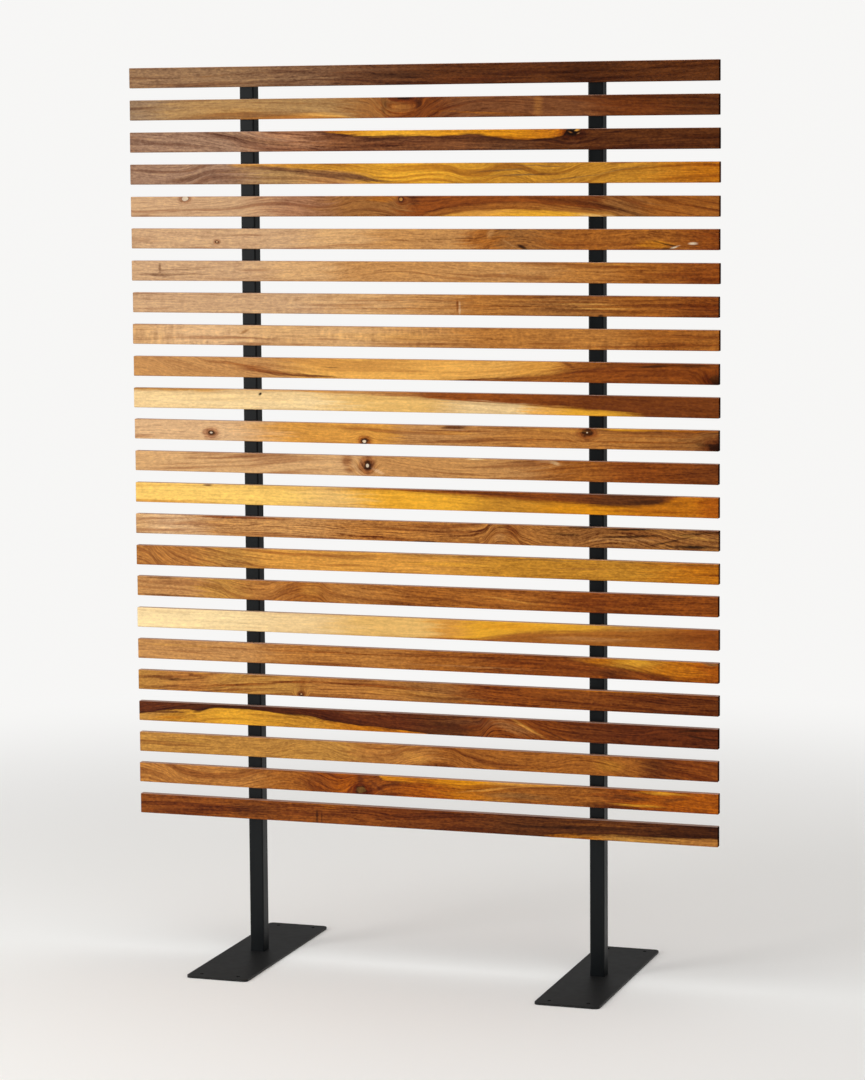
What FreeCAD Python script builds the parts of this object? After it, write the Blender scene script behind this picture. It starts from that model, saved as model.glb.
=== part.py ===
import FreeCAD, Part
import os
from FreeCAD import Vector

# A free-standing garden privacy screen: level wooden slats screwed to the
# fronts of two square steel posts, each post standing on a flat steel plate.
#
# Sizes are in millimetres. X runs along the slats to the right, Y runs from
# the front to the back, and Z is up. The origin is on the floor, midway
# between the posts, at the middle of the base plates' depth.

# Slats
slat_count = 24
slat_length = 1220.0
slat_height = 40.5
slat_thickness = 14.0
slat_gap = 24.0
slat_edge_radius = 1.5
lowest_slat_clearance = 283.0  # from the floor to the lowest slat

# Posts, of square tube
post_spacing = 722.0  # from centre to centre
post_width = 30.0
post_depth = 30.0
post_wall = 2.0
post_inner_corner_radius = 1.0
post_set_back = 5.0  # from the plates' mid-depth back to the posts' centres

# Plastic caps in the posts' tops
cap_drop = 4.0  # from the top slat's upper edge down to the cap's top
cap_flange_thickness = 2.5
cap_edge_radius = 0.8
cap_plug_wall = 1.8
cap_fit = 0.2  # clearance between the plug and the tube, on each side
cap_screw_clearance = 3.0  # from the plug down to the highest screw

# Base plates
plate_width = 130.0
plate_depth = 475.0
plate_thickness = 5.0
plate_corner_radius = 10.0
plate_edge_radius = 0.5
anchor_hole_diameter = 8.0
anchor_side_inset = 26.0  # from the plate's long edge to the hole's centre
anchor_end_inset = 21.0  # from the plate's short edge to the hole's centre

# Screws that hold the slats
screw_diameter = 4.0
screw_head_diameter = 8.0
screw_head_height = 2.6
screw_head_rounding = 1.6
screw_point_length = 4.0
screw_recess_length = 4.4
screw_recess_width = 1.0
screw_recess_depth = 1.4
screw_fit = 0.1  # clearance round the shank, on each side
screw_tip_gap = 0.5  # from the screw's point to the bottom of its hole
screw_hole_cover = 3.5  # wood left in front of the hole

# Threaded blocks in the posts' lower ends, and the bolts up into them
insert_height = 24.0
insert_fit = 0.1  # clearance between the block and the tube, on each side
bolt_diameter = 6.0
bolt_head_diameter = 11.3
bolt_spacing = 14.0  # from centre to centre, front to back
bolt_recess = 0.3  # from the plate's underside up to the bolt's head
bolt_tip_gap = 6.0  # from the bolt's end to the block's top
bolt_fit = 0.1  # clearance round the bolt, on each side
bolt_socket_width = 4.0
bolt_socket_depth = 1.8

# Places that follow from the sizes
slat_pitch = slat_height + slat_gap
panel_top = lowest_slat_clearance + (slat_count - 1) * slat_pitch + slat_height
post_front = post_set_back - post_depth / 2
post_back = post_set_back + post_depth / 2
cap_top = panel_top - cap_drop
post_top = cap_top - cap_flange_thickness
post_outer_corner_radius = post_inner_corner_radius + post_wall
tube_inner_width = post_width - 2 * post_wall
tube_inner_depth = post_depth - 2 * post_wall
slat_hole_depth = slat_thickness - screw_hole_cover
post_centres = {"left": -post_spacing / 2, "right": post_spacing / 2}
cut_margin = 1.0  # how far a cutting shape runs past the faces it opens


def slat_bottom(number):
    """Height of a slat's lower edge; slat 1 is the top one."""
    return lowest_slat_clearance + (slat_count - number) * slat_pitch


def slat_middle(number):
    return slat_bottom(number) + slat_height / 2


def bar(width, depth, height, centre_x, centre_y, bottom):
    """An upright bar, placed by the centre of its foot."""
    corner = Vector(centre_x - width / 2, centre_y - depth / 2, bottom)
    return Part.makeBox(width, depth, height, corner)


def upright_edges(shape):
    """The edges that run straight up, at a bar's four corners."""
    found = []
    for edge in shape.Edges:
        box = edge.BoundBox
        if box.ZLength > box.XLength + box.YLength:
            found.append(edge)
    return found


def edges_at_height(shape, height):
    """The edges that lie level at one height."""
    found = []
    for edge in shape.Edges:
        box = edge.BoundBox
        level = abs(box.ZMin - height) < 0.001 and abs(box.ZMax - height) < 0.001
        if level:
            found.append(edge)
    return found


def rounded_bar(width, depth, height, radius, centre_x, centre_y, bottom):
    plain = bar(width, depth, height, centre_x, centre_y, bottom)
    return plain.makeFillet(radius, upright_edges(plain))


def hole_along_y(radius, start_y, end_y, x, z):
    return Part.makeCylinder(radius, end_y - start_y, Vector(x, start_y, z), Vector(0, 1, 0))


def save(node, shape):
    shape.exportStep("parts/" + node + ".step")
    print(node, len(shape.Solids), "solids", round(shape.Volume), "mm3")


def make_slat(number):
    """A planed board with eased edges and a blind screw hole behind each post."""
    corner = Vector(-slat_length / 2, post_front - slat_thickness, slat_bottom(number))
    board = Part.makeBox(slat_length, slat_thickness, slat_height, corner)
    board = board.makeFillet(slat_edge_radius, board.Edges)
    hole_bottom = post_front - slat_hole_depth
    for x in post_centres.values():
        hole = hole_along_y(
            screw_diameter / 2 + screw_fit, hole_bottom, post_front + cut_margin, x, slat_middle(number))
        board = board.cut(hole)
    return board


def make_post(x):
    """A square tube from the plate up to the cap, drilled right through at each slat."""
    height = post_top - plate_thickness
    tube = rounded_bar(
        post_width, post_depth, height, post_outer_corner_radius, x, post_set_back, plate_thickness)
    inside = rounded_bar(
        tube_inner_width, tube_inner_depth, height + 2 * cut_margin, post_inner_corner_radius,
        x, post_set_back, plate_thickness - cut_margin)
    holes = []
    for number in range(1, slat_count + 1):
        holes.append(hole_along_y(
            screw_diameter / 2 + screw_fit, post_front - cut_margin, post_back + cut_margin,
            x, slat_middle(number)))
    return tube.cut([inside] + holes)


def make_cap(x):
    """A flange on the tube's rim, and a hollow plug that ends above the highest screw."""
    flange = rounded_bar(
        post_width, post_depth, cap_flange_thickness, post_outer_corner_radius,
        x, post_set_back, post_top)
    flange = flange.makeFillet(cap_edge_radius, edges_at_height(flange, cap_top))
    plug_bottom = slat_middle(1) + screw_diameter / 2 + cap_screw_clearance
    plug_height = post_top - plug_bottom
    plug_width = tube_inner_width - 2 * cap_fit
    plug_depth = tube_inner_depth - 2 * cap_fit
    plug = rounded_bar(
        plug_width, plug_depth, plug_height, post_inner_corner_radius, x, post_set_back, plug_bottom)
    hollow = bar(
        plug_width - 2 * cap_plug_wall, plug_depth - 2 * cap_plug_wall, plug_height + cut_margin,
        x, post_set_back, plug_bottom - cut_margin)
    return flange.fuse(plug.cut(hollow)).removeSplitter()


def bolt_places(x):
    """The centres of the two bolts under a post."""
    front = (x, post_set_back - bolt_spacing / 2)
    back = (x, post_set_back + bolt_spacing / 2)
    return [front, back]


def make_plate(x):
    """A flat plate with rounded corners, four anchor holes and two countersunk bolt holes."""
    plate = rounded_bar(plate_width, plate_depth, plate_thickness, plate_corner_radius, x, 0, 0)
    rims = edges_at_height(plate, 0) + edges_at_height(plate, plate_thickness)
    plate = plate.makeFillet(plate_edge_radius, rims)
    through = plate_thickness + 2 * cut_margin
    cuts = []
    for side in (-1, 1):
        for end in (-1, 1):
            hole_x = x + side * (plate_width / 2 - anchor_side_inset)
            hole_y = end * (plate_depth / 2 - anchor_end_inset)
            cuts.append(Part.makeCylinder(
                anchor_hole_diameter / 2, through, Vector(hole_x, hole_y, -cut_margin)))
    shank_hole_radius = bolt_diameter / 2 + bolt_fit
    sink_radius = bolt_head_diameter / 2 + bolt_recess + bolt_fit
    for place_x, place_y in bolt_places(x):
        cuts.append(Part.makeCylinder(
            shank_hole_radius, through, Vector(place_x, place_y, -cut_margin)))
        cuts.append(Part.makeCone(
            sink_radius, shank_hole_radius, sink_radius - shank_hole_radius,
            Vector(place_x, place_y, 0)))
    return plate.cut(cuts)


def make_insert(x):
    """A steel block that stands on the plate inside the tube, with two bolt holes."""
    block = rounded_bar(
        tube_inner_width - 2 * insert_fit, tube_inner_depth - 2 * insert_fit, insert_height,
        post_inner_corner_radius, x, post_set_back, plate_thickness)
    cuts = []
    for place_x, place_y in bolt_places(x):
        cuts.append(Part.makeCylinder(
            bolt_diameter / 2 + bolt_fit, insert_height + 2 * cut_margin,
            Vector(place_x, place_y, plate_thickness - cut_margin)))
    return block.cut(cuts)


def hexagon_bar(width, height, x, y, bottom):
    """A six-sided bar, measured across its flats."""
    corner_radius = width / 3 ** 0.5
    first = Vector(x + corner_radius, y, bottom)
    corners = []
    for turn in range(7):
        rotation = FreeCAD.Rotation(Vector(0, 0, 1), 60 * turn)
        centre = Vector(x, y, bottom)
        corners.append(centre + rotation.multVec(first - centre))
    return Part.Face(Part.makePolygon(corners)).extrude(Vector(0, 0, height))


def make_bolt(x, y):
    """A countersunk bolt, head down, sunk a little into the plate's underside."""
    shank_radius = bolt_diameter / 2
    head_radius = bolt_head_diameter / 2
    head_height = head_radius - shank_radius
    tip = plate_thickness + insert_height - bolt_tip_gap
    head = Part.makeCone(head_radius, shank_radius, head_height, Vector(x, y, bolt_recess))
    shank_bottom = bolt_recess + head_height
    shank = Part.makeCylinder(shank_radius, tip - shank_bottom, Vector(x, y, shank_bottom))
    socket = hexagon_bar(
        bolt_socket_width, bolt_socket_depth + cut_margin, x, y, bolt_recess - cut_margin)
    return head.fuse(shank).cut(socket)


def make_base_bolts(x):
    bolts = []
    for place_x, place_y in bolt_places(x):
        bolts.append(make_bolt(place_x, place_y))
    return Part.makeCompound(bolts)


def make_screw():
    """A pan-head screw with a cross recess. Its point is towards -Y, and the
    underside of its head is at the origin."""
    length = post_depth + slat_hole_depth - screw_tip_gap
    shank_length = length - screw_point_length
    backward = Vector(0, 1, 0)
    forward = Vector(0, -1, 0)
    head = Part.makeCylinder(screw_head_diameter / 2, screw_head_height, Vector(0, 0, 0), backward)
    rim = []
    for edge in head.Edges:
        if edge.BoundBox.YMin > screw_head_height / 2:
            rim.append(edge)
    head = head.makeFillet(screw_head_rounding, rim)
    shank = Part.makeCylinder(screw_diameter / 2, shank_length, Vector(0, 0, 0), forward)
    point = Part.makeCone(
        screw_diameter / 2, 0, screw_point_length, Vector(0, -shank_length, 0), forward)
    slot_bottom = screw_head_height - screw_recess_depth
    slots = []
    for width, height in (
            (screw_recess_length, screw_recess_width), (screw_recess_width, screw_recess_length)):
        corner = Vector(-width / 2, slot_bottom, -height / 2)
        slots.append(Part.makeBox(width, screw_recess_depth + cut_margin, height, corner))
    return head.fuse([shank, point]).removeSplitter().cut(slots)


def make_slat_screws(x, screw):
    screws = []
    for number in range(1, slat_count + 1):
        placed = screw.copy()
        placed.translate(Vector(x, post_back, slat_middle(number)))
        screws.append(placed)
    return Part.makeCompound(screws)


os.makedirs("parts", exist_ok=True)

for slat_number in range(1, slat_count + 1):
    save("slat_%02d" % slat_number, make_slat(slat_number))

slat_screw = make_screw()
for side, centre_x in post_centres.items():
    save("post_" + side, make_post(centre_x))
    save("post_cap_" + side, make_cap(centre_x))
    save("base_plate_" + side, make_plate(centre_x))
    save("foot_insert_" + side, make_insert(centre_x))
    save("base_bolts_" + side, make_base_bolts(centre_x))
    save("slat_screws_" + side, make_slat_screws(centre_x, slat_screw))
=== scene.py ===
import math

import bmesh
import bpy
from mathutils import Matrix, Vector


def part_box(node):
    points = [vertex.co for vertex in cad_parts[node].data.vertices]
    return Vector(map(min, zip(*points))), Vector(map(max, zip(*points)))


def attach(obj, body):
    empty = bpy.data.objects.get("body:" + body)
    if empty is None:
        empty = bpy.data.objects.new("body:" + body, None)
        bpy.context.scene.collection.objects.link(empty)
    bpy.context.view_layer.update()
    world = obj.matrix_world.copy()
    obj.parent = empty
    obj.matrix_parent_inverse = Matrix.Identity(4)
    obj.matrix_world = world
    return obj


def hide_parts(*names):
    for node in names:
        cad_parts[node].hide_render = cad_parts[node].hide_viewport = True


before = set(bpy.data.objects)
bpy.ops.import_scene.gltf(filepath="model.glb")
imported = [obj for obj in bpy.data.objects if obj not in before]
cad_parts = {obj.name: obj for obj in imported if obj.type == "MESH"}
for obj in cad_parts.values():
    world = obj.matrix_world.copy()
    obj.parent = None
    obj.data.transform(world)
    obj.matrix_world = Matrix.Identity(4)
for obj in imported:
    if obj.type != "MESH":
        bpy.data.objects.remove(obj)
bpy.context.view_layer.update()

scene = bpy.context.scene
print("frame loaded:", len(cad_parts), "nodes")

# A garden privacy screen: hardwood slats screwed to two black steel posts on flat base plates.
# Lengths are metres, except in the wood's figure, which is drawn in millimetres on each board.


# Helpers for node trees

def feed(tree, socket, value):
    if isinstance(value, bpy.types.NodeSocket):
        tree.links.new(value, socket)
    else:
        socket.default_value = value


def addNode(tree, kind, sockets=None, **settings):
    node = tree.nodes.new(kind)
    for name, value in settings.items():
        setattr(node, name, value)
    for name, value in (sockets or {}).items():
        feed(tree, node.inputs[name], value)
    return node


def calc(tree, operation, *values, clamp=False):
    node = addNode(tree, "ShaderNodeMath", operation=operation, use_clamp=clamp)
    for place, value in enumerate(values):
        feed(tree, node.inputs[place], value)
    return node.outputs[0]


def plus(tree, one, other):
    return calc(tree, "ADD", one, other)


def minus(tree, one, other):
    return calc(tree, "SUBTRACT", one, other)


def times(tree, one, other):
    return calc(tree, "MULTIPLY", one, other)


def scaled(tree, vector, factors):
    node = addNode(tree, "ShaderNodeVectorMath", operation="MULTIPLY")
    feed(tree, node.inputs[0], vector)
    feed(tree, node.inputs[1], factors)
    return node.outputs[0]


def vectorOf(tree, x, y, z):
    return addNode(tree, "ShaderNodeCombineXYZ", {"X": x, "Y": y, "Z": z}).outputs[0]


def ease(tree, value, low, high, fromValue=0.0, toValue=1.0):
    # a soft step from fromValue to toValue as value goes from low to high
    sockets = {"Value": value, "From Min": low, "From Max": high, "To Min": fromValue, "To Max": toValue}
    node = addNode(tree, "ShaderNodeMapRange", sockets, interpolation_type="SMOOTHSTEP")
    return node.outputs["Result"]


def cloud(tree, vector, seed, detail=2.0, roughness=0.5):
    # smooth noise around 0.5, one cloud to each unit of the vector
    sockets = {"Vector": vector, "W": seed, "Scale": 1.0, "Detail": detail, "Roughness": roughness}
    return addNode(tree, "ShaderNodeTexNoise", sockets, noise_dimensions="4D").outputs["Fac"]


def layer(tree, amount, under, over, blend="MIX"):
    node = tree.nodes.new("ShaderNodeMix")
    node.data_type = "RGBA"
    node.blend_type = blend
    node.clamp_result = False
    feed(tree, node.inputs[0], amount)
    feed(tree, node.inputs[6], under)
    feed(tree, node.inputs[7], over)
    return node.outputs[2]


def linear(colour):
    # a colour as seen on a screen, 0 to 255, as the light values that Blender works in
    values = []
    for part in colour:
        share = part / 255
        values.append(share / 12.92 if share <= 0.04045 else ((share + 0.055) / 1.055) ** 2.4)
    return (*values, 1.0)


def newTree(name, kind, inputs, outputs):
    # each input's name goes with its value, or with its kind where it has none
    tree = bpy.data.node_groups.new(name, kind)
    for words, value in inputs.items():
        named = isinstance(value, str)
        socketKind = value if named else "Int" if isinstance(value, int) else "Float"
        socket = tree.interface.new_socket(
            name=words, in_out="INPUT", socket_type="NodeSocket" + socketKind)
        if not named:
            socket.default_value = value
    for words, socketKind in outputs.items():
        tree.interface.new_socket(name=words, in_out="OUTPUT", socket_type="NodeSocket" + socketKind)
    start = tree.nodes.new("NodeGroupInput").outputs
    end = tree.nodes.new("NodeGroupOutput").inputs
    return tree, start, end


def useGroup(tree, group, sockets):
    node = tree.nodes.new("ShaderNodeGroup")
    node.node_tree = group
    for name, value in sockets.items():
        feed(tree, node.inputs[name], value)
    return node.outputs


def newMaterial(name):
    material = bpy.data.materials.new(name)
    material.use_nodes = True
    tree = material.node_tree
    tree.nodes.clear()
    output = tree.nodes.new("ShaderNodeOutputMaterial")
    shader = tree.nodes.new("ShaderNodeBsdfPrincipled")
    tree.links.new(shader.outputs[0], output.inputs["Surface"])
    place = tree.nodes.new("ShaderNodeTexCoord").outputs["Object"]
    return material, tree, shader, place


# The camera stands in front of the screen, right of its middle, at eye height
cameraSettings = {
    "place": (2.0751, -6.2748, 1.6585),
    "yaw": 0.323861,       # turned towards the screen's left end
    "pitch": 0.103499,     # tipped down
    "roll": -0.007852,
    "lens": 111.22,
    "shift": (0.0232, -0.0494),
}


def makeCamera(settings):
    data = bpy.data.cameras.new("camera")
    data.sensor_width = 36.0
    data.lens = settings["lens"]
    data.shift_x, data.shift_y = settings["shift"]
    camera = bpy.data.objects.new("camera", data)
    turn = Matrix.Rotation(settings["yaw"], 4, "Z")
    tip = Matrix.Rotation(math.pi / 2 - settings["pitch"], 4, "X")
    roll = Matrix.Rotation(settings["roll"], 4, "Z")
    camera.matrix_world = Matrix.Translation(settings["place"]) @ turn @ tip @ roll
    scene.collection.objects.link(camera)
    scene.camera = camera


# A pale studio; glossy things see less of it, so that the wood keeps its colour
roomSettings = {
    "background": (0.93, 0.925, 0.915, 1.0),
    "worldLight": 0.42,     # how strongly the background lights matt things
    "frontGloss": 0.05,     # how bright the studio in front looks in the steel and the oiled wood
    "backGloss": 0.28,      # and the pale wall behind
    "floorColour": (0.94, 0.93, 0.91, 1.0),
    "floorRadius": 30.0,
    "fadeFrom": 1.1,        # the floor fades into the background between these distances
    "fadeTo": 3.4,
}

lampSettings = [
    {"name": "keyLamp", "place": (-3.1, -3.6, 1.45), "aim": (-0.1, 0.0, 0.95), "size": (1.5, 2.2),
     "watts": 95.0},
    {"name": "fillLamp", "place": (3.4, -4.0, 2.2), "aim": (0.0, 0.0, 0.9), "size": (2.6, 2.6),
     "watts": 31.0},
    {"name": "topLamp", "place": (-0.3, -0.2, 4.2), "aim": (0.0, 0.0, 0.0), "size": (3.0, 6.0),
     "watts": 92.0},
]


def makeRoom(settings):
    world = bpy.data.worlds.new("studio")
    scene.world = world
    world.use_nodes = True
    tree = world.node_tree
    tree.nodes.clear()
    ray = tree.nodes.new("ShaderNodeLightPath").outputs
    direction = tree.nodes.new("ShaderNodeTexCoord").outputs["Generated"]
    towardsBack = addNode(tree, "ShaderNodeSeparateXYZ", {"Vector": direction}).outputs["Y"]
    gloss = ease(tree, towardsBack, -0.05, 0.35, settings["frontGloss"], settings["backGloss"])
    seen = calc(tree, "MAXIMUM", ray["Is Camera Ray"], ray["Is Transmission Ray"])
    seen = calc(tree, "MAXIMUM", seen, times(tree, ray["Is Glossy Ray"], gloss))
    unseen = times(tree, minus(tree, 1.0, ray["Is Glossy Ray"]), settings["worldLight"])
    strength = calc(tree, "MAXIMUM", seen, unseen)
    background = addNode(
        tree, "ShaderNodeBackground", {"Color": settings["background"], "Strength": strength})
    output = tree.nodes.new("ShaderNodeOutputWorld")
    tree.links.new(background.outputs[0], output.inputs["Surface"])

    bpy.ops.mesh.primitive_circle_add(vertices=96, radius=settings["floorRadius"], fill_type="NGON")
    floor = bpy.context.object
    floor.name = "floor"
    material = bpy.data.materials.new("paleFloor")
    material.use_nodes = True
    tree = material.node_tree
    tree.nodes.clear()
    place = tree.nodes.new("ShaderNodeTexCoord").outputs["Object"]
    distance = addNode(tree, "ShaderNodeVectorMath", operation="LENGTH")
    feed(tree, distance.inputs[0], place)
    towardsBack = addNode(tree, "ShaderNodeSeparateXYZ", {"Vector": place}).outputs["Y"]
    gloss = ease(tree, towardsBack, -0.5, 2.0, settings["frontGloss"], settings["backGloss"])
    ray = tree.nodes.new("ShaderNodeLightPath").outputs
    strength = calc(tree, "MAXIMUM", ray["Is Camera Ray"], times(tree, ray["Is Glossy Ray"], gloss))
    seen = calc(tree, "MAXIMUM", ray["Is Camera Ray"], ray["Is Glossy Ray"])
    fade = times(
        tree, seen, ease(tree, distance.outputs["Value"], settings["fadeFrom"], settings["fadeTo"]))
    matt = addNode(tree, "ShaderNodeBsdfDiffuse", {"Color": settings["floorColour"]})
    glow = addNode(tree, "ShaderNodeEmission", {"Color": settings["background"], "Strength": strength})
    mixed = tree.nodes.new("ShaderNodeMixShader")
    feed(tree, mixed.inputs[0], fade)
    tree.links.new(matt.outputs[0], mixed.inputs[1])
    tree.links.new(glow.outputs[0], mixed.inputs[2])
    output = tree.nodes.new("ShaderNodeOutputMaterial")
    tree.links.new(mixed.outputs[0], output.inputs["Surface"])
    floor.data.materials.append(material)


def makeLamp(settings):
    data = bpy.data.lights.new(settings["name"], "AREA")
    data.shape = "RECTANGLE"
    data.size, data.size_y = settings["size"]
    data.energy = settings["watts"]
    lamp = bpy.data.objects.new(settings["name"], data)
    lamp.location = settings["place"]
    aim = Vector(settings["aim"]) - Vector(settings["place"])
    lamp.rotation_euler = aim.to_track_quat("-Z", "Y").to_euler()
    scene.collection.objects.link(lamp)


scene.view_settings.view_transform = "Standard"
makeCamera(cameraSettings)
makeRoom(roomSettings)
for lamp in lampSettings:
    makeLamp(lamp)
print("camera, room and lamps ready")


# Sizes read from the frame
slatCount = sum(name.startswith("slat_") and name[5:].isdigit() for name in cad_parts)
topLow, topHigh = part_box("slat_01")
lastLow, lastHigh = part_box("slat_%02d" % slatCount)
slatLength = topHigh.x - topLow.x
slatThickness = topHigh.y - topLow.y
slatHeight = topHigh.z - topLow.z
slatPitch = (topLow.z - lastLow.z) / (slatCount - 1)
postLow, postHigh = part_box("post_right")
postMiddle = (postLow.x + postHigh.x) / 2


# Named wood colours, as seen on a screen
woodColours = {
    "cream": (242, 214, 160),
    "straw": (240, 194, 100),
    "gold": (228, 164, 44),
    "amber": (214, 138, 16),
    "ochre": (188, 110, 14),
    "honey": (212, 148, 62),
    "sand": (206, 160, 108),
    "blush": (196, 146, 102),
    "tan": (190, 136, 78),
    "caramel": (178, 116, 52),
    "toffee": (160, 94, 32),
    "dun": (124, 88, 48),
    "oak": (152, 98, 46),
    "olive": (164, 116, 42),
    "russet": (136, 68, 16),
    "chestnut": (114, 56, 16),
    "mauve": (104, 62, 34),
    "cocoa": (92, 47, 16),
    "walnut": (74, 35, 10),
    "umber": (50, 22, 4),
    "ink": (24, 12, 6),
    "chalk": (214, 194, 166),
    "moss": (110, 76, 32),
    "fawn": (154, 118, 92),
    "clay": (164, 114, 80),
    "hazel": (144, 108, 74),
    "taupe": (124, 88, 60),
    "reed": (168, 128, 78),
    "rust": (122, 72, 38),
    "brass": (190, 130, 38),
    "biscuit": (196, 156, 116),
    "shell": (214, 172, 126),
    "apricot": (226, 166, 80),
    "butter": (232, 198, 142),
    "wheat": (226, 180, 104),
    "burnt": (166, 84, 8),
    "sienna": (134, 70, 20),
    "khaki": (184, 130, 58),
    "mahogany": (96, 42, 12),
    "drab": (146, 116, 86),
}

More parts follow.
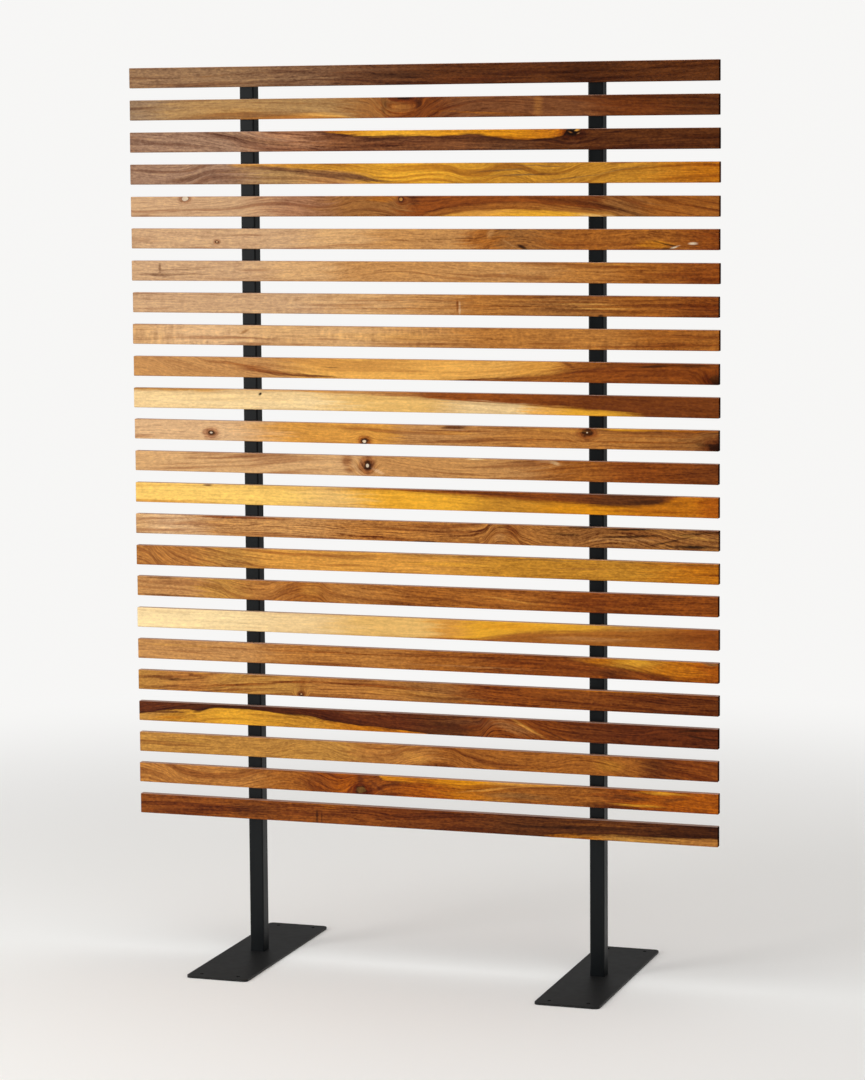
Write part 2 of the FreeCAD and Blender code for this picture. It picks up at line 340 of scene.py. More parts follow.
# The figure of each board, seen from the front: x from the middle of the board and heights from its lower
# edge, in millimetres. "tones" are the wood's colours along the board, with painted light in them too: most
# boards run paler towards the left end, as painted sheen and light, and darker towards the right end, as
# painted shade. "run" is how the grain rises and falls, "lines" how strongly it shows, "spacing" how far
# apart, and "curl" the short bars of painted sheen across it. A patch fills one side of an edge. A smudge
# is a leaning oval: colour, x, height, half length, half height, slope, strength. A knot: colour of its
# heart, x, height, half length, half height, the heart's share.
boardFigures = {
    1: {
        "tones": [
            (-400, "hazel"), (-250, "taupe"), (-100, "mauve"), (50, "cocoa"), (220, "cocoa"),
            (350, "walnut"), (480, "cocoa")],
        "run": [(-610, 0), (-200, 6), (100, -4), (610, 5)],
        "lines": 0.4, "contrast": 1.1,
        "smudges": [
            ("umber", -30, 20, 75, 7, 0.02, 0.5), ("chestnut", 110, 10, 50, 5, 0, 0.5),
            ("taupe", -150, 30, 120, 3, 0, 0.5), ("hazel", -330, 16, 160, 3, 0, 0.4)],
    },
    2: {
        "tones": [
            (-610, "drab"), (-480, "reed"), (-200, "reed"), (-100, "oak"), (-30, "russet"),
            (30, "chestnut"), (90, "rust"), (300, "rust"), (420, "chestnut"), (610, "cocoa")],
        "run": [
            (-610, 0), (-330, 4), (-200, 2), (-110, -4), (-75, -24), (-30, -40), (30, -16), (80, 4),
            (160, 12), (250, 6), (610, -12)],
        "lines": 0.5, "contrast": 0.9,
        "patches": [
            {"side": "below", "soft": 5.0, "rim": 0.0,
             "tones": [(-450, "reed"), (-330, "honey"), (-180, "apricot"), (-120, "tan")],
             "edge": [(-470, -6), (-400, 2), (-320, 5), (-250, 8), (-205, 9), (-160, 5), (-110, -6)]}],
        "smudges": [
            ("khaki", -380, 10, 90, 10, 0, 0.4), ("caramel", -28, 20, 22, 9, 0, 0.7),
            ("umber", -66, 26, 5, 18, 0, 0.45), ("umber", 6, 30, 6, 16, 0, 0.5),
            ("caramel", 250, 22, 9, 24, 0, 0.45), ("ochre", 150, 8, 90, 2, -0.04, 0.45),
            ("umber", 430, 36, 100, 5, 0, 0.35)],
        "knots": [("umber", -27, 40, 18, 5, 0.5)],
    },
    3: {
        "tones": [
            (-400, "fawn"), (-260, "clay"), (-150, "rust"), (100, "rust"), (190, "mauve"), (280, "cocoa")],
        "run": [(-610, 40), (-460, 34), (-250, 0), (-130, 0), (120, 1), (260, -6), (610, 0)],
        "lines": 0.75, "contrast": 1.1,
        "patches": [
            {"side": "above", "soft": 2.5, "rim": 1.0,
             "tones": [(-200, "ochre"), (-80, "gold"), (180, "amber"), (300, "ochre")],
             "edge": [
                 (-240, 46), (-190, 38), (-130, 32), (-80, 29.5), (-20, 30), (50, 29), (120, 31), (160, 27),
                 (220, 22), (265, 23), (300, 30), (318, 46)]}],
        "smudges": [
            ("walnut", -60, 24, 50, 5, -0.01, 0.7), ("walnut", 140, 20, 90, 5, -0.03, 0.6),
            ("mauve", -330, 22, 90, 5, -0.16, 0.6), ("honey", 328, 38, 6, 2.4, 0.2, 1.0),
            ("caramel", 315, 34, 6, 1.6, -0.3, 0.9), ("tan", 331, 32, 4, 1.6, 0.4, 0.9),
            ("rust", 322, 12, 14, 6, 0, 0.6)],
        "knots": [("ink", 319, 35, 15, 9, 0.7)],
    },
    4: {
        "tones": [(-420, "fawn"), (-280, "reed"), (-180, "tan"), (-60, "gold"), (610, "toffee")],
        "run": [
            (-610, 10), (-500, 4), (-420, 24), (-270, 20), (-130, 8), (-45, -4), (50, 0), (120, -14),
            (190, 2), (270, -12), (340, 4), (430, 24), (520, 28), (610, 28)],
        "lines": 0.6, "contrast": 1.0,
        "patches": [
            {"side": "above", "soft": 4.5, "rim": 0.3,
             "tones": [
                 (-400, "honey"), (-200, "brass"), (0, "gold"), (200, "brass"), (400, "brass"),
                 (610, "ochre")],
             "edge": [
                 (-420, 46), (-380, 38), (-330, 36), (-270, 32), (-200, 27), (-130, 21), (-80, 12),
                 (-55, 5), (-40, -8)]}],
        "smudges": [
            ("mauve", -300, 31, 70, 4, -0.09, 0.85), ("mauve", -170, 17, 120, 6, -0.1, 0.9),
            ("taupe", -490, 12, 30, 3, 0.15, 0.6), ("dun", 180, 26, 60, 1.6, 0.06, 0.7),
            ("dun", 230, 17, 70, 1.6, 0.03, 0.8), ("dun", 330, 12, 60, 1.4, 0.1, 0.6),
            ("dun", 250, 34, 60, 1.4, -0.04, 0.6), ("dun", 420, 26, 50, 1.4, 0.16, 0.6)],
    },
    5: {
        "tones": [
            (-400, "biscuit"), (-250, "clay"), (-130, "oak"), (-60, "oak"), (10, "russet"), (300, "russet"),
            (360, "chestnut"), (420, "oak"), (500, "toffee")],
        "run": [
            (-610, 0), (-400, 0), (-300, 10), (-200, 2), (-100, 16), (0, 0), (90, 11), (200, 18), (330, 6),
            (400, -8), (480, -30), (610, -50)],
        "lines": 0.7, "spacing": 5.0, "contrast": 0.9,
        "patches": [
            {"side": "below", "soft": 5.0, "rim": 0.5,
             "tones": [(200, "toffee"), (400, "honey")],
             "edge": [
                 (-10, -8), (20, 6), (80, 18), (150, 25), (220, 26), (290, 20), (350, 12), (400, 4),
                 (430, -6)]},
            {"side": "below", "soft": 2.5, "rim": 0.3,
             "tones": [(20, "brass"), (120, "honey"), (240, "gold"), (330, "gold"), (410, "butter")],
             "edge": [
                 (0, -8), (40, 2), (100, 9), (160, 12), (230, 12), (300, 9), (360, 5), (400, 1),
                 (430, -6)]}],
        "smudges": [
            ("walnut", 300, 31, 90, 5, -0.1, 0.5), ("walnut", 410, 14, 50, 4, -0.28, 0.6),
            ("ochre", -70, 36, 28, 6, 0, 0.6), ("walnut", -5, 34, 12, 12, 0, 0.6),
            ("russet", 435, 32, 30, 5, -0.3, 0.5)],
        "knots": [("chalk", -491, 36, 7, 5, 1.02), ("caramel", -32, 34, 5, 5, 0.7)],
    },
    6: {
        "tones": [
            (-300, "biscuit"), (-170, "sand"), (-40, "tan"), (70, "tan"), (150, "toffee"), (190, "oak"),
            (330, "toffee"), (480, "toffee"), (610, "russet")],
        "run": [(-610, 0), (-300, -4), (-100, 8), (100, 2), (200, 16), (300, 2), (480, 10), (610, 0)],
        "lines": 0.5, "contrast": 1.1,
        "smudges": [
            ("amber", 482, 12, 34, 7, 0, 0.5), ("cocoa", 110, 22, 110, 1.2, 0.03, 0.6),
            ("tan", 152, 32, 9, 9, 0.4, 0.7), ("umber", 180, 40, 20, 2, 0, 0.6),
            ("umber", 216, 6, 10, 3.5, -0.45, 0.95), ("tan", 190, 12, 14, 2, -0.5, 0.6),
            # the chalk oval at x 522 is a painted glint in the crack
            ("umber", 506, 12, 26, 1.8, -0.22, 0.85), ("chalk", 522, 6, 8, 1.8, 0.3, 0.95),
            ("chalk", 558, 13, 8, 2.6, 0, 0.95), ("umber", 505, 3, 12, 2, 0, 0.7)],
        "knots": [("biscuit", -423, 14, 4, 2.6, 0.5)],
    },
    7: {
        "tones": [
            (-380, "biscuit"), (-230, "sand"), (-120, "tan"), (200, "tan"), (350, "caramel"),
            (450, "toffee"), (610, "russet")],
        "run": [(-610, 4), (-300, 0), (-180, 4), (-60, 20), (100, 6), (610, 0)],
        "lines": 0.45, "contrast": 1.1,
        "smudges": [
            ("honey", 380, 36, 60, 3, 0, 0.5), ("mauve", -535, 13, 60, 1.8, 0, 0.8),
            ("mauve", -540, 10, 26, 1.5, 0, 0.6), ("mauve", -548, 26, 3, 9, 0, 0.7),
            ("taupe", -520, 22, 60, 1.5, 0.02, 0.5), ("russet", 520, 12, 70, 3, 0.02, 0.4),
            ("sand", 178, 16, 6, 4, 0, 0.6)],
    },
    8: {
        "tones": [
            (-250, "biscuit"), (-120, "sand"), (40, "tan"), (130, "caramel"), (300, "oak"), (450, "toffee"),
            (610, "russet")],
        "lines": 0.6, "spacing": 5.0, "curl": 0.25, "contrast": 1.1,
        "smudges": [
            ("russet", 83, 20, 1.8, 12, 0, 0.8), ("shell", 88, 12, 1.8, 14, 0, 0.9),
            ("umber", 375, 2, 5, 3, 0, 0.8), ("russet", -60, 12, 190, 2, 0.01, 0.5),
            ("russet", 160, 18, 130, 2, 0.01, 0.5), ("honey", 190, 34, 60, 2, 0, 0.6),
            ("apricot", 365, 15, 50, 1.6, 0, 0.8), ("apricot", 345, 24, 60, 1.6, 0, 0.5),
            ("russet", 270, 28, 120, 2, 0, 0.4), ("sand", -200, 26, 70, 9, 0, 0.4)],
    },
    9: {
        "tones": [
            (-610, "sand"), (-450, "shell"), (-300, "sand"), (-150, "sand"), (0, "tan"), (150, "caramel"),
            (380, "caramel"), (500, "toffee")],
        "run": [(-610, -4), (-200, 2), (200, 0), (610, 4)],
        "lines": 0.45, "curl": 0.7, "contrast": 1.0,
        "smudges": [
            ("russet", 430, 6, 110, 2, 0.01, 0.7), ("oak", -366, 28, 9, 3, 0.4, 0.7),
            ("apricot", -60, 20, 130, 8, 0, 0.3)],
    },
    10: {
        "tones": [
            (-330, "tan"), (-200, "apricot"), (150, "apricot"), (250, "honey"), (320, "toffee"),
            (450, "russet")],
        "run": [
            (-610, 60), (-520, 38), (-420, 18), (-330, 8), (-200, -6), (-100, -10), (0, -10), (100, -6),
            (180, 0), (300, 16), (400, 26), (500, 30), (610, 30)],
        "lines": 0.5, "contrast": 0.9, "bands": 0.4,
        "patches": [
            {"side": "below", "soft": 4.0, "rim": 0.5,
             "tones": [(30, "russet"), (200, "toffee"), (400, "russet")],
             "edge": [(0, -8), (80, 2), (180, 7), (250, 12), (300, 18), (340, 26), (420, 32), (610, 36)]}],
        "smudges": [
            ("russet", -380, 26, 70, 3.0, -0.1, 0.8), ("russet", -310, 12, 80, 5, -0.09, 0.85),
            ("mahogany", -300, 9, 60, 3, -0.06, 0.6), ("mahogany", -220, 5, 60, 2.6, -0.03, 0.8),
            ("dun", -180, 22, 16, 1.2, 0, 0.5), ("mahogany", 310, 34, 14, 4, -0.5, 0.7),
            ("mahogany", 350, 24, 60, 2.4, 0.14, 0.7), ("umber", 480, 34, 36, 3, 0.02, 0.8),
            ("umber", 560, 36, 40, 3, 0.02, 0.6), ("mahogany", 160, 5, 90, 2, 0.04, 0.7),
            ("russet", 600, 26, 14, 14, 0, 0.4)],
        "knots": [("umber", 604, 9, 14, 10, 0.5)],
    },
    11: {
        "tones": [
            (-250, "butter"), (-100, "wheat"), (0, "wheat"), (120, "butter"), (200, "butter"),
            (260, "apricot"), (330, "gold"), (610, "brass")],
        "run": [(-610, 0), (-60, 2), (200, -6), (400, -16), (610, -26)],
        "lines": 0.15, "contrast": 0.8, "bands": 0.25,
        "patches": [
            {"side": "above", "soft": 3.5, "rim": 0.2,
             "tones": [
                 (-560, "khaki"), (-300, "honey"), (-100, "tan"), (40, "russet"), (200, "russet"),
                 (400, "chestnut")],
             "edge": [
                 (-610, 36), (-450, 35), (-380, 39), (-300, 39), (-200, 36), (-140, 34), (-60, 32), (0, 30),
                 (100, 25), (200, 22), (280, 17), (340, 13), (400, 9), (450, 3), (490, -6)]}],
        "smudges": [
            ("ink", -334, 32, 3.4, 2.6, 0.3, 1.0), ("toffee", -50, 38, 60, 2, 0, 0.5),
            ("cream", -350, 14, 200, 8, 0, 0.5), ("butter", 190, 12, 40, 6, 0, 0.6)],
    },
    12: {
        "tones": [
            (-400, "shell"), (-250, "honey"), (-80, "honey"), (0, "tan"), (250, "caramel"),
            (450, "caramel"), (610, "oak")],
        "run": [(-610, 0), (-300, 5), (0, -4), (250, 4), (610, 0)],
        "lines": 0.6, "spacing": 5.0,
        "patches": [
            {"side": "above", "soft": 2.0, "rim": 0.4,
             "tones": [(400, "gold"), (560, "ochre")],
             "edge": [(340, 46), (380, 38), (500, 36), (600, 39)]}],
        "smudges": [
            ("khaki", -280, 30, 110, 8, 0, 0.4), ("russet", 90, 30, 70, 1.8, 0, 0.6),
            ("honey", 60, 26, 50, 3, 0, 0.6), ("russet", 260, 16, 60, 2, 0, 0.6),
            ("russet", 440, 15, 120, 1.8, 0.01, 0.7), ("russet", 470, 26, 110, 1.6, 0, 0.6),
            ("honey", 290, 34, 60, 2, 0, 0.5), ("umber", 585, 12, 24, 4, -0.1, 0.6),
            ("cocoa", 75, 39, 25, 6, 0, 0.95), ("blush", 76, 32, 20, 1.5, 0, 0.6)],
        "knots": [
            ("chalk", -441, 16, 9, 6, 0.32), ("chalk", -113, 5, 8, 6, 0.5), ("chalk", 347, 32, 11, 8, 0.18),
            ("umber", 604, 8, 15, 11, 0.4)],
    },
    13: {
        "tones": [
            (-160, "sand"), (-90, "tan"), (180, "tan"), (320, "toffee"), (450, "russet"),
            (610, "chestnut")],
        "run": [
            (-610, 0), (-400, 10), (-250, 22), (-107, 22), (0, 8), (60, 0), (200, 4), (330, 16), (610, 24)],
        "lines": 0.5,
        "smudges": [
            ("sand", 262, 38, 26, 3, -0.1, 0.7), ("cream", 280, 36, 9, 4, -0.2, 0.6),
            ("cream", 118, 40, 14, 1.5, 0, 0.8), ("russet", -150, 30, 12, 12, 0, 0.7),
            ("russet", -144, 12, 12, 6, 0, 0.6), ("shell", -84, 10, 12, 4, -0.4, 0.7),
            ("russet", -400, 32, 120, 2, 0.05, 0.4), ("russet", 470, 24, 130, 1.6, 0.03, 0.5)],
        "knots": [("chalk", -107, 21, 9, 10, 0.38)],
    },
    14: {
        "tones": [
            (-300, "straw"), (-180, "wheat"), (-60, "gold"), (50, "gold"), (170, "brass"), (350, "amber"),
            (480, "ochre"), (560, "ochre"), (610, "burnt")],
        "run": [(-610, 0), (-150, 4), (150, -4), (430, -14), (610, -10)],
        "lines": 0.2, "contrast": 0.9, "curl": 0.25, "bands": 0.35,
        "patches": [
            {"side": "above", "soft": 4.0, "rim": 0.35,
             "tones": [
                 (-160, "ochre"), (20, "russet"), (250, "russet"), (330, "chestnut"), (400, "cocoa"),
                 (490, "cocoa"), (520, "russet")],
             "edge": [
                 (-180, 45), (-80, 39), (50, 34), (150, 30), (250, 25), (350, 20), (430, 19), (475, 22),
                 (500, 28), (520, 36), (540, 46)]}],
        "smudges": [
            ("ochre", -560, 2, 120, 3, 0, 0.6), ("burnt", 480, 10, 110, 2.5, 0, 0.5),
            ("umber", 470, 27, 40, 5, 0, 0.4), ("walnut", 150, 35, 90, 2, -0.05, 0.6),
            ("dun", -450, 38, 10, 2.6, 0, 1.0), ("burnt", 590, 20, 22, 18, 0, 0.6)],
    },
    15: {
        "tones": [
            (-610, "sand"), (-540, "shell"), (-400, "tan"), (-250, "tan"), (-100, "caramel"),
            (230, "caramel"), (350, "oak")],
        "run": [
            (-610, 0), (-440, 6), (0, 0), (130, 4), (172, 34), (215, 10), (300, -6), (400, 10), (480, -4),
            (550, -20), (610, -30)],
        "lines": 0.9, "spacing": 5.0, "contrast": 1.45,
        "smudges": [
            ("russet", -390, 39, 110, 2.6, -0.01, 0.95), ("russet", -80, 6, 110, 3, -0.03, 0.6),
            ("shell", -560, 30, 60, 5, 0, 0.5), ("khaki", 170, 35, 9, 6, 0, 0.7),
            ("tan", 168, 14, 10, 12, 0, 0.5), ("russet", 195, 28, 14, 12, -0.5, 0.6),
            ("tan", 430, 17, 90, 3, 0.03, 0.6), ("khaki", 560, 27, 46, 3, -0.1, 0.6),
            ("ink", 340, 40, 30, 2.5, 0, 0.95), ("ink", 440, 38, 50, 2, 0.03, 0.9),
            ("umber", 440, 24, 60, 2.2, 0.05, 0.85), ("ink", 560, 7, 46, 3.5, 0, 0.9),
            ("umber", 510, 16, 40, 2, 0.25, 0.7), ("ink", 570, 34, 36, 1.5, 0.1, 0.7),
            ("umber", 20, 2, 26, 2, 0, 0.8), ("umber", 300, 24, 30, 3, -0.05, 0.5)],
    },
    16: {
        "tones": [
            (-500, "caramel"), (-400, "khaki"), (-300, "honey"), (0, "honey"), (200, "brass"),
            (400, "brass"), (610, "ochre")],
        "run": [(-610, 96), (-560, 66), (-520, 42), (-450, 22), (-380, 8), (-300, 2), (0, 0), (610, 4)],
        "lines": 0.55, "contrast": 1.1,
        "smudges": [
            ("apricot", -280, 42, 140, 4, 0, 0.6), ("oak", -160, 30, 60, 4, 0, 0.5),
            ("oak", -380, 10, 40, 8, 0, 0.4), ("dun", 40, 38, 90, 2, 0, 0.6),
            ("dun", 250, 36, 120, 1.6, 0, 0.5), ("dun", 500, 37, 110, 1.8, 0, 0.6),
            ("oak", 330, 22, 60, 2, 0, 0.5), ("gold", 60, 22, 90, 4, 0, 0.4)],
    },
    17: {
        "tones": [
            (-500, "tan"), (-430, "khaki"), (-330, "caramel"), (-250, "toffee"), (-150, "caramel"),
            (0, "toffee"), (200, "toffee"), (350, "russet")],
        "run": [
            (-610, 26), (-560, 24), (-480, 22), (-430, 14), (-390, -2), (-340, -8), (-280, 10), (-225, 20),
            (-190, 4), (-120, -4), (0, -14), (200, -24), (300, -30), (610, -28)],
        "lines": 0.6, "contrast": 1.1, "bands": 0.5,
        "smudges": [
            ("cocoa", -540, 3, 90, 1.8, 0, 0.7), ("tan", -540, 30, 60, 6, -0.05, 0.5),
            ("honey", -230, 26, 20, 12, 0, 0.4), ("cocoa", -560, 38, 40, 2, 0, 0.5),
            ("honey", 180, 20, 60, 1.8, -0.1, 0.5), ("cocoa", 510, 34, 40, 5, 0, 0.4)],
    },
    18: {
        "tones": [
            (-430, "cream"), (-250, "butter"), (-100, "wheat"), (0, "wheat"), (60, "honey"), (130, "gold"),
            (300, "gold"), (450, "khaki"), (610, "caramel")],
        "run": [(-610, 0), (-200, 3), (80, 2), (200, 16), (420, 30), (610, 40)],
        "lines": 0.15, "contrast": 0.7, "bands": 0.2,
        "patches": [
            {"side": "below", "soft": 5.0, "rim": 0.2,
             "tones": [(20, "caramel"), (200, "toffee"), (450, "toffee"), (610, "russet")],
             "edge": [
                 (60, -9), (110, 2), (150, 9), (200, 18), (260, 24), (340, 28), (420, 33), (500, 37),
                 (580, 45)]}],
        "smudges": [
            ("russet", 70, 2, 110, 1.6, 0, 0.7), ("tan", 340, 12, 90, 5, 0, 0.4),
            ("amber", 180, 30, 60, 7, 0, 0.5)],
    },
    19: {
        "tones": [(-400, "tan"), (-250, "caramel"), (-100, "caramel"), (50, "toffee"), (200, "russet")],
        "run": [(-610, 4), (-100, 0), (290, 4), (430, -10), (500, -24), (610, -30)],
        "lines": 0.6, "contrast": 1.1,
        "patches": [
            {"side": "above", "soft": 6.0, "rim": 0.6,
             "tones": [(300, "oak"), (370, "ochre"), (440, "brass"), (530, "ochre"), (610, "burnt")],
             "edge": [(280, 46), (320, 36), (370, 28), (430, 22), (480, 15), (520, 4), (540, -9)]}],
        "smudges": [
            ("russet", -150, 28, 260, 1.6, 0, 0.7), ("khaki", -520, 30, 80, 3, 0, 0.5),
            ("chestnut", 150, 29, 130, 1.8, -0.02, 0.7), ("cocoa", 270, 40, 40, 4, 0, 0.6),
            ("cocoa", 390, 12, 50, 7, 0, 0.6), ("dun", 596, 36, 16, 4, 0, 0.8),
            ("tan", 120, 12, 110, 2, 0, 0.4), ("gold", 440, 34, 40, 6, 0, 0.5)],
    },
    20: {
        "tones": [
            (-610, "khaki"), (-500, "caramel"), (-400, "khaki"), (-300, "khaki"), (-200, "caramel"),
            (-80, "caramel"), (20, "oak"), (150, "russet"), (380, "sienna"), (500, "chestnut")],
        "run": [
            (-610, -14), (-500, -4), (-440, 2), (-400, 10), (-330, 18), (-260, 22), (-200, 21), (-100, 19),
            (50, 14), (150, 9), (350, 0), (610, -6)],
        "lines": 1.0, "spacing": 7.0, "contrast": 1.0,
        "smudges": [
            ("khaki", -310, 12, 60, 8, 0.08, 0.6), ("russet", -390, 18, 90, 2.6, 0.09, 0.9),
            ("russet", -270, 29, 80, 2.6, 0.03, 0.9), ("russet", -110, 29, 120, 2.8, -0.03, 0.9),
            ("sienna", -420, 6, 70, 2.2, 0.08, 0.8), ("honey", -30, 16, 90, 6, -0.03, 0.4),
            ("tan", 115, 8, 24, 4, -0.1, 0.5), ("ochre", 430, 39, 180, 2, 0, 0.6),
            ("ochre", 120, 6, 60, 2, 0, 0.5), ("russet", -250, 24, 8, 18, 0, 0.4),
            ("umber", -520, 24, 40, 2, 0.02, 0.5)],
        "knots": [("sand", -253, 5, 5, 3.4, 0.4)],
    },
    21: {
        "tones": [
            (-610, "mahogany"), (-400, "walnut"), (-250, "mahogany"), (-50, "mahogany"), (60, "cocoa"),
            (180, "russet"), (260, "russet"), (330, "chestnut"), (450, "mahogany")],
        "run": [
            (-610, 10), (-450, 30), (-330, 31), (-150, 12), (0, 0), (120, 4), (160, 34), (200, 28),
            (250, 8), (300, -4), (350, -8), (450, -10), (500, -2), (610, -4)],
        "lines": 0.7, "contrast": 1.1,
        "patches": [
            {"side": "below", "soft": 1.6, "rim": 0.7,
             "tones": [(-610, "khaki"), (-520, "brass"), (-400, "gold"), (-250, "brass"), (-100, "ochre")],
             "edge": [
                 (-610, 14), (-560, 22), (-500, 26), (-480, 24), (-450, 31), (-380, 33), (-330, 31),
                 (-280, 26), (-220, 21), (-150, 14), (-80, 8), (0, 3), (60, -8)]}],
        "smudges": [
            ("cocoa", -560, 19, 60, 2, 0.04, 0.8), ("ochre", -540, 8, 34, 3, 0.05, 0.6),
            ("honey", 222, 24, 32, 3.5, -0.5, 0.7), ("tan", 190, 24, 40, 10, -0.3, 0.35),
            ("walnut", 270, 16, 40, 2, -0.4, 0.7), ("umber", 570, 34, 40, 1.8, 0.08, 0.8),
            ("umber", 565, 22, 44, 1.8, -0.12, 0.8), ("rust", -120, 36, 60, 2, 0, 0.6),
            ("rust", 110, 28, 60, 8, 0, 0.5)],
    },
    22: {
        "tones": [
            (-180, "khaki"), (-100, "caramel"), (0, "caramel"), (60, "toffee"), (430, "toffee"),
            (480, "chestnut"), (560, "russet")],
        "run": [
            (-610, 0), (-330, 6), (-230, 22), (-160, 8), (-90, 0), (-20, 16), (40, 26), (100, 8), (180, -6),
            (270, 0), (330, 10), (400, 2), (480, -14), (610, -36)],
        "lines": 0.6, "contrast": 1.15,
        "smudges": [
            ("cocoa", 475, 26, 24, 12, 0.1, 0.5), ("honey", -10, 16, 30, 8, -0.2, 0.4),
            ("brass", 390, 20, 30, 10, 0, 0.4), ("olive", -520, 26, 90, 2, 0, 0.5)],
    },
    23: {
        "tones": [
            (-380, "caramel"), (-290, "toffee"), (-210, "russet"), (-150, "burnt"), (-90, "russet"),
            (0, "burnt"), (90, "ochre"), (200, "toffee"), (330, "toffee"), (400, "russet"), (480, "burnt")],
        "run": [
            (-610, 30), (-560, 20), (-500, -5), (-420, -10), (-330, 10), (-290, 14), (-220, -8),
            (-150, -25), (-100, -5), (-60, 10), (0, 8), (100, 4), (200, 10), (380, 16), (610, 4)],
        "lines": 0.6, "contrast": 1.2,
        "patches": [
            {"side": "above", "soft": 3.0, "rim": 0.5,
             "tones": [(-90, "amber"), (-20, "ochre"), (100, "amber"), (200, "honey"), (380, "ochre")],
             "edge": [
                 (-100, 46), (-80, 34), (-40, 30), (-20, 29), (40, 32), (80, 27), (130, 27), (200, 34),
                 (300, 38), (380, 42), (420, 47)]}],
        "smudges": [
            ("mahogany", -128, 30, 8, 12, 0, 0.75), ("mahogany", -96, 20, 22, 4, -0.7, 0.7),
            ("cocoa", -56, 27, 20, 2, 0.2, 0.6), ("dun", 200, 14, 75, 6, 0, 0.6),
            ("cocoa", 430, 24, 50, 4, -0.05, 0.75), ("gold", 450, 9, 44, 3, 0, 0.7),
            ("cocoa", 520, 24, 24, 4, 0.15, 0.6), ("walnut", 380, 6, 40, 5, 0, 0.6),
            ("honey", 140, 24, 60, 2, 0.14, 0.7), ("khaki", 170, 3, 40, 3, 0, 0.5),
            ("gold", 500, 36, 50, 3, 0, 0.6), ("burnt", -170, 16, 20, 16, 0, 0.5)],
        "knots": [("moss", -127, 9, 12, 8, 0.85)],
    },
    24: {
        "tones": [(-100, "sienna"), (50, "chestnut"), (200, "cocoa"), (450, "cocoa"), (520, "walnut")],
        "run": [(-610, 0), (-200, 4), (-40, 0), (60, 6), (240, 0), (400, 10), (610, 14)],
        "lines": 0.8, "spacing": 5.0, "contrast": 1.2,
        "patches": [
            {"side": "below", "soft": 3.5, "rim": 0.5,
             "tones": [(270, "ochre"), (430, "khaki"), (610, "caramel")],
             "edge": [(230, -5), (270, 3), (330, 7), (400, 10), (500, 12), (570, 14), (610, 15)]}],
        "smudges": [
            ("umber", -222, 15, 2.6, 12, 0, 0.8), ("umber", -212, 12, 1.8, 10, 0, 0.6),
            ("cocoa", -360, 20, 50, 16, 0, 0.5), ("toffee", -230, 38, 70, 2, 0, 0.5),
            ("ochre", -195, 34, 16, 3, 0, 0.5), ("umber", 320, 22, 130, 4, 0.02, 0.6),
            ("toffee", 350, 30, 70, 2, 0.02, 0.4)],
    },
}

curveFloor, curveSpan = -60.0, 160.0  # heights that a drawn curve can reach, in millimetres


def drawnCurve(tree, along, points):
    # a smooth line through (x, height) points; along is 0 at the board's left end and 1 at its right
    node = tree.nodes.new("ShaderNodeFloatCurve")
    curve = node.mapping.curves[0]
    half = slatLength * 500
    places = [((x + half) / (2 * half), (height - curveFloor) / curveSpan) for x, height in points]
    if places[0][0] > 0:
        places.insert(0, (0.0, places[0][1]))
    if places[-1][0] < 1:
        places.append((1.0, places[-1][1]))
    while len(curve.points) < len(places):
        curve.points.new(0.5, 0.5)
    for point, place in zip(curve.points, places):
        point.location = place
    node.mapping.update()
    feed(tree, node.inputs["Value"], along)
    height = times(tree, node.outputs[0], curveSpan)
    return plus(tree, height, curveFloor)


def toneRamp(tree, along, tones):
    node = tree.nodes.new("ShaderNodeValToRGB")
    node.color_ramp.interpolation = "EASE"
    stops = node.color_ramp.elements
    half = slatLength * 500
    while len(stops) < len(tones):
        stops.new(0.5)
    for stop, (x, name) in zip(stops, tones):
        stop.position = (x + half) / (2 * half)
        stop.color = linear(woodColours[name])
    feed(tree, node.inputs[0], along)
    return node.outputs["Color"]


def makePatchGroup():
    # fills one side of an edge; the wood before the edge darkens into a rim
    tree, start, end = newTree(
        "woodPatch", "ShaderNodeTree",
        {"Under": "Color", "Patch": "Color", "Beyond Edge": 0.0, "Softness": 2.0, "Rim": 0.5,
         "Rim Width": 9.0},
        {"Colour": "Color"})
    beyond = start["Beyond Edge"]
    inside = ease(tree, beyond, times(tree, start["Softness"], -1.0), start["Softness"])
    near = ease(tree, beyond, times(tree, start["Rim Width"], -1.0), 0.0)
    rim = times(tree, near, start["Rim"])
    dark = layer(tree, 1.0, start["Under"], (0.40, 0.30, 0.28, 1.0), "MULTIPLY")
    stained = layer(tree, rim, start["Under"], dark)
    feed(tree, end["Colour"], layer(tree, inside, stained, start["Patch"]))
    return tree


def makeOvalGroup():
    # how far a place is from the middle of a leaning oval; 1 is on its outline
    tree, start, end = newTree(
        "oval", "ShaderNodeTree",
        {"X": 0.0, "Height": 0.0, "Middle X": 0.0, "Middle Height": 0.0, "Half Length": 10.0,
         "Half Height": 10.0, "Slope": 0.0},
        {"Distance": "Float"})
    across = minus(tree, start["X"], start["Middle X"])
    lean = times(tree, across, start["Slope"])
    rise = minus(tree, minus(tree, start["Height"], start["Middle Height"]), lean)
    across = calc(tree, "DIVIDE", across, start["Half Length"])
    rise = calc(tree, "DIVIDE", rise, start["Half Height"])
    square = plus(tree, times(tree, across, across), times(tree, rise, rise))
    feed(tree, end["Distance"], calc(tree, "SQRT", square))
    return tree


